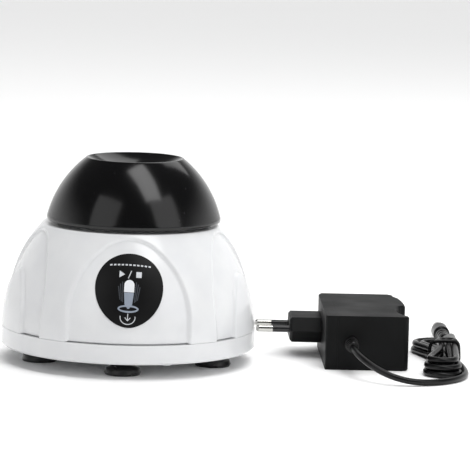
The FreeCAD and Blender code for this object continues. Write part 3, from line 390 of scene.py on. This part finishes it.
# %% Silicone head
# Silicone rubber: almost black and satin, so that lamps show as soft-edged patches. Its skin holds a few specks of
# dust and swells by hundredths of a millimetre, which bends the edges of the patches.
head_rubber, tree, shader, place = start_material("satin black silicone rubber", "#070708", 0.17, IOR=1.46)
specks = add_node(tree, "TexVoronoi", {"Vector": place, "Scale": 1 / (5.5 * MM)}, feature="F1").outputs["Distance"]
dust = add_node(tree, "MapRange", {
    "Value": specks, "From Min": 0.035, "From Max": 0.075, "To Min": 1.0, "To Max": 0.0}).outputs["Result"]
haze = patches(tree, place, 30, 0.0, 0.5)
cover = add_node(tree, "Math", {0: dust, 1: haze}, operation="MULTIPLY").outputs["Value"]
tree.links.new(shades(tree, cover, "#060607", "#6A6B6E"), shader.inputs["Base Color"])
tree.links.new(patches(tree, place, 26, 0.13, 0.19, 4.0), shader.inputs["Roughness"])
wave = add_node(tree, "TexNoise", {"Vector": place, "Scale": 1 / (9 * MM), "Detail": 1.0}).outputs["Fac"]
relief = add_node(tree, "Bump", {"Height": wave, "Distance": 0.03 * MM, "Strength": 1.0}).outputs["Normal"]
tree.links.new(relief, shader.inputs["Normal"])


# %% Label film and its inks
# A velvet-finish polyester film printed black from behind: a deep black whose sheen shows no lamp.
film = moulded("black polyester film", ("#060607", "#0A0A0B"), (0.36, 0.42), 12.0, 0.004, IOR=1.55,
               Specular_IOR_Level=0.2)
# Screen-printed inks are thin and slightly duller than the film.
pale_ink = moulded("pale grey screen ink", ("#C4C7CB", "#CDD0D4"), (0.3, 0.4), 0.8, 0.003)
white_ink = moulded("white screen ink", ("#DFE2E6", "#E8EAED"), (0.3, 0.4), 0.8, 0.003)
slate_ink = moulded("slate blue screen ink", ("#8A93A1", "#98A1AE"), (0.3, 0.4), 0.8, 0.003)
dim_ink = moulded("dark grey screen ink", ("#34373C", "#3E4248"), (0.3, 0.4), 0.8, 0.003)


# %% Metals
def metal(name, colour, gloss, grain, depth, stretch=(1, 1, 1)):
    """A metal: its grain can be stretched along one axis, as turning, drawing or brushing leaves it."""
    material, tree, shader, place = start_material(name, colour, gloss[0], Metallic=1.0)
    drawn = add_node(tree, "Mapping", {"Vector": place, "Scale": stretch}).outputs["Vector"]
    tree.links.new(patches(tree, drawn, grain * 4, *gloss), shader.inputs["Roughness"])
    skin = add_node(tree, "TexNoise", {"Vector": drawn, "Scale": 1 / (grain * MM), "Detail": 2.0})
    bump = add_node(tree, "Bump", {"Height": skin.outputs["Fac"], "Distance": depth * MM, "Strength": 1.0})
    tree.links.new(bump.outputs["Normal"], shader.inputs["Normal"])
    return material


# Contacts, the jack's nut and the bearing: bright plate, a warm mirror drawn out along the mains pins.
nickel = metal("bright nickel plate", "#C9C8C4", (0.12, 0.22), 0.5, 0.004, (0.1, 1, 1))
# Posts, shafts, springs and the motor can: drawn steel, grey, with fine lines along the axis.
steel = metal("drawn steel", "#A5A6A8", (0.28, 0.4), 0.4, 0.008, (1, 1, 0.05))
# Screws and the motor plate: zinc plate, a bluish grey that is softly uneven.
zinc = metal("zinc plate", "#B2B5B9", (0.3, 0.45), 1.0, 0.01)
# Hub, counterweight and terminals: turned brass, a warm yellow with fine rings from the lathe.
brass = metal("turned brass", "#C9A55C", (0.22, 0.34), 0.3, 0.006, (1, 1, 8))

# %% Circuit board and clear plastic
# Solder mask over copper tracks: a satin green with slightly darker runs where there is no copper.
board, tree, shader, place = start_material("green solder mask", "#14532F", 0.32, IOR=1.5)
tracks = add_node(tree, "TexBrick", {"Vector": place, "Scale": 1 / (9 * MM), "Mortar Size": 0.03,
                                     "Color1": linear("#1A6239"), "Color2": linear("#175A34"),
                                     "Mortar": linear("#0E3D22")})
tree.links.new(tracks.outputs["Color"], shader.inputs["Base Color"])
# The lamp's lens is cast epoxy: clear, slightly green and glossy.
lens, tree, shader, place = start_material("clear green epoxy", "#C9D8C6", 0.08, IOR=1.52, Transmission_Weight=0.7)
tree.links.new(patches(tree, place, 2.0, 0.05, 0.14), shader.inputs["Roughness"])

# %% Give each carried-over part the finish of its material slot
FINISHES = {
    "white_shell": white_abs, "label_film": film, "head_rubber": head_rubber, "foot_rubber": foot_rubber,
    "steel": steel, "zinc": zinc, "bright_nickel": nickel, "brass": brass, "magnet": ferrite,
    "insert_plastic": stiff_insert, "nylon": natural_nylon, "board": board, "black_plastic": matt_abs,
    "gloss_black": sleeve_pa, "clear_plastic": lens, "cord_jacket": pvc, "wire": red_sleeve,
    "capacitor_sleeve": shrink_sleeve,
}
for part in frame["record"]["subparts"]:
    thing = frame["nodes"][part["node"]]
    thing.data.materials.clear()
    thing.data.materials.append(FINISHES[part["material_slot"]])
cord_curve.materials.append(pvc)
tie_curve.materials.append(pvc)

# %% [markdown]
# ## Drawing a turned part
# The housing and the head are round, so each starts as half of its outline. The outline grows from its
# first point: a straight run extrudes the last point, and an arc spins it round a centre. The outline is then
# spun about the axis: a tenth of a turn first and nine copies of it after, which is much quicker than one full
# spin. Sizes are in millimetres, as radius and height.

# %% Outline helpers
def begin(x, z):
    """A new outline with its first point."""
    bm = bmesh.new()
    return bm, bm.verts.new((x * MM, 0, z * MM))


def run(bm, last, x, z, parts=1):
    """A straight run to a new point, in equal parts."""
    start = last.co.copy()
    for part in range(1, parts + 1):
        last = bmesh.ops.extrude_vert_indiv(bm, verts=[last])["verts"][0]
        last.co = start.lerp(Vector((x * MM, 0, z * MM)), part / parts)
    return last


def arc(bm, last, x, z, degrees, parts):
    """An arc round a centre; a positive angle turns from the axis's top towards the outside."""
    spun = bmesh.ops.spin(bm, geom=[last], cent=(x * MM, 0, z * MM), axis=(0, 1, 0), angle=math.radians(degrees),
                          steps=parts)
    return spun["geom_last"][0]


def turned(bm, steps, centre=0.0):
    """Spins the outline round the axis at x = centre: a tenth of a turn, then nine copies of that. It closes the
    poles and the seams."""
    bmesh.ops.translate(bm, verts=bm.verts, vec=(centre * MM, 0, 0))
    axis = {"cent": (centre * MM, 0, 0), "axis": (0, 0, 1)}
    bmesh.ops.spin(bm, geom=bm.verts[:] + bm.edges[:], angle=math.radians(36), steps=steps // 10, **axis)
    bmesh.ops.spin(bm, geom=bm.verts[:] + bm.edges[:] + bm.faces[:], angle=math.radians(324), steps=9,
                   use_duplicate=True, **axis)
    bmesh.ops.remove_doubles(bm, verts=bm.verts, dist=0.002 * MM)
    bmesh.ops.dissolve_degenerate(bm, edges=bm.edges, dist=0.001 * MM)
    bmesh.ops.recalc_face_normals(bm, faces=bm.faces)


def make_piece(bm, name, body, slot, material, sharp=40, replaces=()):
    """Turns the bmesh into a smooth-shaded piece that rides on a body, if one is named, and replaces CAD nodes."""
    mesh = bpy.data.meshes.new(name)
    bm.to_mesh(mesh)
    bm.free()
    mesh.shade_smooth()
    mesh.set_sharp_from_angle(angle=math.radians(sharp))
    mesh.materials.append(material)
    piece = bpy.data.objects.new(name, mesh)
    bpy.context.scene.collection.objects.link(piece)
    if body:
        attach(piece, body)
    if replaces:
        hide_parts(*replaces)
    print(name, len(mesh.vertices), "points,", sum(len(p.vertices) - 2 for p in mesh.polygons), "triangles")
    return piece


# %% [markdown]
# ## The white housing
# The housing is one moulding: a dome whose side is an arc, with five arched panels sunk into it and a raised pad
# on four of them. The walls of the sunk panels slope, and both edges of a wall are soft. Cutting each arch out of
# the dome would leave hard edges that are slow to round, so the dome is spun fine enough to carry the relief, and
# each of its points moves in by the depth that the relief has there. The depth comes from the distance to the
# arch's outline, which is made of two straight sides, two large arcs and a small crown.

# %% The relief of the housing
SEAM, DOME_TOP, DOME_CURVE, BASE_RADIUS = 18.6, 75.4, 85.0, 70.0
RECESS, WALL_RUN = 1.8, 2.1
PANEL_GAP = 0.6
ARCH = {"half": 34.0, "spring": 30.0, "top": 74.0, "crown": 24.0}
PAD = {"half": 18.0, "spring": 22.0, "top": 51.0, "crown": 10.0}
FRONT = -90.0
PANELS = [FRONT + 72.0 * k for k in range(5)]


def dome_radius(z, inset=0.0):
    """The dome's radius at a height: an arc whose centre lies on the other side of the axis."""
    return BASE_RADIUS - DOME_CURVE + math.sqrt((DOME_CURVE - inset) ** 2 - (z - SEAM) ** 2)


def inside_arch(u, z, half, spring, top, crown):
    """How far a point lies inside the arch's outline, in millimetres; negative outside."""
    u = abs(u)
    if z <= spring:
        return half - u
    rise = top - crown - spring
    side = (rise ** 2 + half ** 2 - crown ** 2) / (2 * (half - crown))
    if (z - spring) * (side - half) > (u + side - half) * rise:
        return crown - math.hypot(u, z - (top - crown))
    return side - math.hypot(u + side - half, z - spring)


def ease(t):
    """A smooth step from 0 to 1."""
    t = min(max(t, 0.0), 1.0)
    return t * t * (3 - 2 * t)


def depth(azimuth, radius, z):
    """How deep the relief is at a place on the dome, from 0 to 1."""
    for panel in PANELS:
        off = math.radians((azimuth - panel + 180) % 360 - 180)
        if abs(off) < math.radians(40):
            u = radius * math.sin(off)
            sunk = ease(inside_arch(u, z, **ARCH) / WALL_RUN)
            if panel != FRONT:
                sunk *= 1 - ease((inside_arch(u, z, **PAD) + 1.5) / 1.5)
            return sunk
    return 0.0


# %% Spin the housing and press the relief into it
# The wall is thick enough to hold the relief, which is pressed only into points nearer to the outside than this.
THICK_WALL, SKIN = 4.3, 2.2
LOW_ANGLE = math.degrees(math.asin((DOME_TOP - SEAM) / DOME_CURVE))
bm, point = begin(64.5, SEAM + 0.02)
point = run(bm, point, BASE_RADIUS - 0.25, SEAM + 0.02, 3)
point = run(bm, point, BASE_RADIUS, SEAM + 0.25)
point = arc(bm, point, BASE_RADIUS - DOME_CURVE, SEAM, -LOW_ANGLE + 0.17, 98)
edge = point.co.x / MM
point = run(bm, point, edge - 0.5, DOME_TOP)
point = run(bm, point, 36.0, DOME_TOP, 2)
point = run(bm, point, 36.0, 77.6, 2)
point = run(bm, point, 35.6, 78.0)
point = run(bm, point, 34.2, 78.0)
point = run(bm, point, 34.0, 77.6)
point = run(bm, point, 34.0, 72.6)
for height in (70.0, 62.0, 52.0, 40.0, 28.0, SEAM + 3.4):
    point = run(bm, point, dome_radius(height, THICK_WALL), height)
run(bm, point, 64.5, SEAM + 0.02)
turned(bm, 720)
for point in bm.verts:
    x, y, z = (c / MM for c in point.co)
    radius = math.hypot(x, y)
    if z > DOME_TOP - 0.4 or radius < dome_radius(max(z, SEAM), SKIN):
        continue
    sunk = depth(math.degrees(math.atan2(y, x)), radius, z)
    shrink = (radius - RECESS * sunk) / radius
    lift = PANEL_GAP * sunk * max(0.0, 1 - (z - SEAM) / 3)
    point.co = (x * shrink * MM, y * shrink * MM, (z + lift) * MM)

# %% The jack's flat seat and hole at the back
JACK_HEIGHT, SEAT_Y, SEAT_RADIUS, HOLE_RADIUS, BACK = 30.0, 67.6, 6.6, 4.6, 60
for point in bm.verts:
    x, y, z = (c / MM for c in point.co)
    if y > SEAT_Y and math.hypot(x, z - JACK_HEIGHT) < SEAT_RADIUS:
        point.co.y = SEAT_Y * MM
hole = []
for face in bm.faces:
    x, y, z = (c / MM for c in face.calc_center_median())
    if y > BACK and math.hypot(x, z - JACK_HEIGHT) < HOLE_RADIUS:
        hole.append(face)
bmesh.ops.delete(bm, geom=hole, context="FACES")
rims = [e for e in bm.edges if e.is_boundary]
bmesh.ops.bridge_loops(bm, edges=rims)
bmesh.ops.recalc_face_normals(bm, faces=bm.faces)
make_piece(bm, "housing", "base", "white_shell", white_abs, 60, ["dome_shell"])

# %% [markdown]
# ## The rubber head
# The head is a thick silicone cap. Its side is one long arc between a lip at the bottom and a thin rounded rim,
# and its top is a shallow dish with a pit in the middle that takes the foot of a tube. Rubber never leaves its
# mould with a sharp edge, so each corner of the outline is cut into short soft steps. Its axis lies beside the
# mixer's axis by the radius of its orbit.

# %% Draw the dish and the rim
ORBIT = 1.75
bm, point = begin(0, 101.0)
point = run(bm, point, 4.2, 101.0, 3)
point = arc(bm, point, 4.2, 101.8, -50, 4)
point = run(bm, point, 6.1, 103.3, 3)
point = run(bm, point, 7.2, 104.3, 2)
point = run(bm, point, 9.5, 104.95, 2)
for x, z in ((12.5, 105.75), (15.5, 106.75), (18.5, 107.95), (21.2, 109.2), (23.6, 110.5), (25.2, 111.45)):
    point = run(bm, point, x, z, 2)
for x, z in ((25.6, 111.75), (26.1, 111.95), (26.6, 111.9), (27.1, 111.55)):
    point = run(bm, point, x, z)

# %% Draw the side, the lip and the hollow, and spin the head
rim = Vector((27.1, 111.55))
lip = Vector((47.9, 79.3))
SIDE = 60.0
middle = (rim + lip) / 2
across = lip - rim
out = Vector((-across.y, across.x)).normalized()
centre = middle - out * math.sqrt(SIDE ** 2 - (across.length / 2) ** 2) * (1 if out.x > 0 else -1)
start_angle = math.atan2(rim.y - centre.y, rim.x - centre.x)
end_angle = math.atan2(lip.y - centre.y, lip.x - centre.x)
point = arc(bm, point, centre.x, centre.y, math.degrees(start_angle - end_angle), 48)
for x, z in ((47.9, 78.3), (47.8, 77.8), (47.55, 77.4), (47.2, 77.15), (46.7, 77.06), (46.0, 77.05)):
    point = run(bm, point, x, z)
point = run(bm, point, 41.8, 77.05, 2)
point = run(bm, point, 41.5, 77.5)
for x, z in ((41.5, 80.0), (38.0, 81.0), (38.0, 82.0), (33.9, 91.0), (27.9, 98.9), (0, 98.9)):
    point = run(bm, point, x, z, 2)
turned(bm, 240, ORBIT)
make_piece(bm, "rubber_cap", "head", "head_rubber", head_rubber, 50, ["mixing_head"])

# %% [markdown]
# ## Springs and motor leads
# Two inner things change their shape when the head is pressed: the springs under the motor plate shorten, and the
# motor's leads bend. Each is a round section swept along its way. A spin with a rise at each step makes a coil,
# one without a rise makes a bend, and one without a turn makes a straight run.

# %% Sweeping helpers
def section(bm, radius, spot, axis):
    """A ring of points round a wire that runs along an axis; returns its points and edges."""
    turn = Vector((0, 0, 1)).rotation_difference(Vector(axis)).to_matrix().to_4x4()
    points = bmesh.ops.create_circle(bm, segments=12, radius=radius * MM,
                                     matrix=Matrix.Translation(Vector(spot) * MM) @ turn)["verts"]
    return points + list({e for v in points for e in v.link_edges})


def sweep(bm, ring, steps, cent=(0, 0, 0), axis=(0, 0, 1), degrees=0, move=(0, 0, 0)):
    """Sweeps a ring round an axis, along a move, or both; returns the ring at its end."""
    return bmesh.ops.spin(bm, geom=ring, cent=Vector(cent) * MM, axis=axis, dvec=Vector(move) * MM / steps,
                          angle=math.radians(degrees), steps=steps)["geom_last"]


def swept_piece(bm, *details):
    """Closes the ends of what was swept, and makes the piece."""
    bmesh.ops.holes_fill(bm, edges=[e for e in bm.edges if e.is_boundary], sides=0)
    bmesh.ops.recalc_face_normals(bm, faces=bm.faces)
    return make_piece(bm, *details)


# %% Three springs
WIRE, COIL, COIL_TURNS, COIL_LOW, COIL_HIGH = 0.6, 4.6, 5, 44.6, 60.4
POSTS, POST_TURN, POST_CIRCLE = 3, -90, 38
bm = bmesh.new()
for post in range(POSTS):
    around = math.radians(POST_TURN + 360 / POSTS * post)
    x, y = POST_CIRCLE * math.cos(around), POST_CIRCLE * math.sin(around)
    ring = section(bm, WIRE, (x + COIL, y, COIL_LOW), (0, 1, 0))
    sweep(bm, ring, COIL_TURNS * 24, (x, y, 0), degrees=360 * COIL_TURNS, move=(0, 0, COIL_HIGH - COIL_LOW))
springs = swept_piece(bm, "coil_springs", None, "steel", steel, 50, ["return_springs"])
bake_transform(springs)

# %% Two motor leads
LEAD, LEAD_Y, LEAD_TOP, LEAD_LOW, LEAD_END, LEAD_BEND = 0.8, 12.4, 23.0, 14.5, 20.0, 2.5
bm = bmesh.new()
for x in (-5, 5):
    ring = section(bm, LEAD, (x, LEAD_Y, LEAD_TOP), (0, 0, 1))
    ring = sweep(bm, ring, 6, move=(0, 0, LEAD_LOW + LEAD_BEND - LEAD_TOP))
    ring = sweep(bm, ring, 8, (x, LEAD_Y + LEAD_BEND, LEAD_LOW + LEAD_BEND), (1, 0, 0), 90)
    sweep(bm, ring, 2, move=(0, LEAD_END - LEAD_Y - LEAD_BEND, 0))
leads = swept_piece(bm, "motor_wires", None, "wire", red_sleeve, 50, ["motor_leads"])
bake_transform(leads)

# %% [markdown]
# ## The print on the label
# The label is a black film on the front panel. Words are left off; what remains is a drawing that anyone can
# read: a tube with liquid that rocks from side to side over the ring of the head, an arrow that presses down, and
# the usual signs for play and stop. Each shape is drawn flat, cut fine enough to bend, laid on the panel's
# curve, and given the thickness of a layer of ink. The label was stuck on slightly turned, so the print is too.

# %% Flat shapes
TILT = -2.2
LABEL_MIDDLE = 47.0
FILM_THICK, FILM_GAP, INK_THICK = 0.3, 0.03, 0.02
INK_INSET = RECESS - FILM_GAP - FILM_THICK - FILM_GAP


def bar(bm, x, z, wide, tall, angle=0.0, parts=4):
    """A rectangle round a middle, turned clockwise by an angle."""
    made = bmesh.ops.create_grid(bm, x_segments=parts, y_segments=parts, size=0.5)["verts"]
    bmesh.ops.scale(bm, verts=made, vec=(wide, tall, 1))
    bmesh.ops.rotate(bm, verts=made, cent=(0, 0, 0), matrix=Matrix.Rotation(-math.radians(angle), 3, "Z"))
    bmesh.ops.translate(bm, verts=made, vec=(x, z, 0))


def disc(bm, x, z, wide, tall, parts=40):
    """A filled ellipse; its middle is a fan of thin faces cut across so that it can bend."""
    made = bmesh.ops.create_circle(bm, cap_ends=True, cap_tris=True, segments=parts, radius=0.5)["verts"]
    bmesh.ops.scale(bm, verts=made, vec=(wide, tall, 1))
    bmesh.ops.translate(bm, verts=made, vec=(x, z, 0))
    return made


def hoop(bm, x, z, wide, tall, stroke, parts=56):
    """An elliptical ring: a circle's edge is extruded inwards."""
    rim = bmesh.ops.create_circle(bm, segments=parts, radius=0.5)["verts"]
    edges = list({e for v in rim for e in v.link_edges})
    inner = [v for v in bmesh.ops.extrude_edge_only(bm, edges=edges)["geom"] if isinstance(v, bmesh.types.BMVert)]
    bmesh.ops.scale(bm, verts=inner, vec=((wide - 2 * stroke) / wide, (tall - 2 * stroke) / tall, 1))
    bmesh.ops.scale(bm, verts=rim + inner, vec=(wide, tall, 1))
    bmesh.ops.translate(bm, verts=rim + inner, vec=(x, z, 0))


def keep(bm, z, above=True):
    """Cuts everything at a height and keeps the part above or below it."""
    bmesh.ops.bisect_plane(bm, geom=bm.verts[:] + bm.edges[:] + bm.faces[:], plane_co=(0, z, 0),
                           plane_no=(0, 1, 0), clear_inner=above, clear_outer=not above)


def printed(bm, name, ink):
    """Lays flat shapes on the label: x across, and the drawing's y up the panel."""
    bmesh.ops.subdivide_edges(bm, edges=[e for e in bm.edges if e.calc_length() > 1.6], cuts=1)
    bmesh.ops.triangulate(bm, faces=bm.faces)
    bmesh.ops.rotate(bm, verts=bm.verts, cent=(0, LABEL_MIDDLE, 0),
                     matrix=Matrix.Rotation(math.radians(TILT), 3, "Z"))
    for point in bm.verts:
        x, z = point.co.x, point.co.y
        point.co = (x * MM, -math.sqrt(dome_radius(z, INK_INSET) ** 2 - x ** 2) * MM, z * MM)
    for face in bm.faces:
        face.normal_update()
        if face.normal.y > 0:
            face.normal_flip()
    bmesh.ops.solidify(bm, geom=bm.faces[:], thickness=INK_THICK * MM)
    return make_piece(bm, name, "base", "label_film", ink, 60)


# %% The tube and its liquid
TUBE_WIDE = 5.4
bm = bmesh.new()
cap = disc(bm, 0, 50.2, TUBE_WIDE, TUBE_WIDE)
for point in cap:
    if point.co.y < 50.2:
        point.co.y -= 6.0
keep(bm, 46.6)
printed(bm, "print_tube", white_ink)

bm = bmesh.new()
foot = disc(bm, 0, 41.2, TUBE_WIDE, TUBE_WIDE)
for point in foot:
    if point.co.y > 41.2:
        point.co.y += 6.0
    else:
        point.co.x *= 0.78
keep(bm, 46.4, False)
bar(bm, 0, 38.9, 1.2, 1.6)
printed(bm, "print_liquid", slate_ink)

# %% The rocking marks, the ring, the arrow and its cup
bm = bmesh.new()
for side in (-1, 1):
    for step, (tall, lean) in enumerate(((10.5, 3), (9.0, 6), (7.0, 9))):
        bar(bm, side * (3.4 + 0.9 * step), 46.6 - 0.3 * step, 0.55, tall, side * lean)
printed(bm, "print_rocking", dim_ink)

bm = bmesh.new()
hoop(bm, 0, 38.0, 11.2, 4.0, 0.95)
printed(bm, "print_ring", slate_ink)

bm = bmesh.new()
bar(bm, 0, 33.7, 0.42, 3.7)
bar(bm, -0.72, 32.6, 0.42, 2.3, -42)
bar(bm, 0.72, 32.6, 0.42, 2.3, 42)
printed(bm, "print_arrow", pale_ink)
bm = bmesh.new()
hoop(bm, 0, 33.5, 8.4, 7.6, 0.42)
keep(bm, 34.2, False)
printed(bm, "print_cup", pale_ink)

# %% Play, stop and a row of marks
bm = bmesh.new()
play = bmesh.ops.create_circle(bm, cap_ends=True, cap_tris=True, segments=3, radius=2.0)["verts"]
bmesh.ops.rotate(bm, verts=play, cent=(0, 0, 0), matrix=Matrix.Rotation(math.radians(-90), 3, "Z"))
bmesh.ops.translate(bm, verts=play, vec=(-4.6, 55.6, 0))
bar(bm, 0, 55.6, 0.45, 4.2, 22)
bar(bm, 4.8, 55.6, 2.9, 2.9)
printed(bm, "print_play_stop", pale_ink)

bm = bmesh.new()
for step in range(-5, 6):
    bar(bm, 2.05 * step, 60.4 - 0.022 * step * step, 1.25, 0.75, 2.4 * step, 2)
printed(bm, "print_marks", pale_ink)
